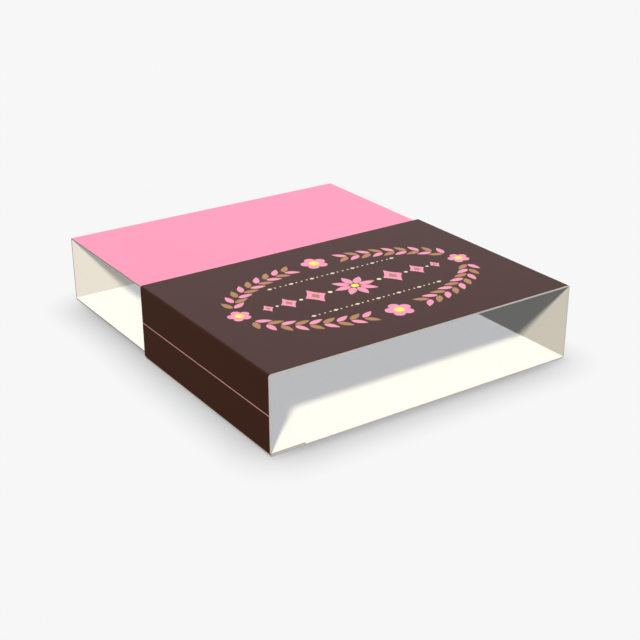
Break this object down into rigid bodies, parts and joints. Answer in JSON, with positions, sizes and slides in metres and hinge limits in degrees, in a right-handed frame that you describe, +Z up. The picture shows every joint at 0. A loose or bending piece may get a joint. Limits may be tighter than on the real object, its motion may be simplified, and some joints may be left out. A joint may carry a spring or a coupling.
{
  "type": "sliding drawer gift box",
  "caption": "Flat card gift box in which a folded drawer, open at the left and right, slides out of a sleeve open at the front and back.",
  "frame": {"origin": "middle of the sleeve's flat underside, on the surface that the box stands on", "axes": "+Z up, +Y towards the back, where the drawer slides out, +X to the right"},
  "size_m": [0.18, 0.2123, 0.041],
  "materials": {
    "sleeve_card": "matt dark brown print outside, bare cream card inside",
    "drawer_card": "satin pink print outside, bare cream card inside",
    "inside_card": "bare cream card",
    "glue": "dried clear carton glue"
  },
  "bodies": {
    "sleeve": {"sleeve_top_panel": "sleeve_card", "sleeve_left_panel": "sleeve_card", "sleeve_right_panel": "sleeve_card", "sleeve_bottom_panel": "sleeve_card", "sleeve_glue_flap": "inside_card", "sleeve_glue_seam": "glue"},
    "drawer": {"drawer_top_panel": "drawer_card", "drawer_front_panel": "drawer_card", "drawer_rear_panel": "drawer_card", "drawer_bottom_panel": "drawer_card", "drawer_glue_flap": "inside_card", "drawer_glue_seam": "glue"}
  },
  "joints": [
    {"name": "drawer_slide", "type": "slide", "parent": "sleeve", "child": "drawer", "axis": [0, 1, 0], "range_m": [-0.09, 0.0425]}
  ]
}
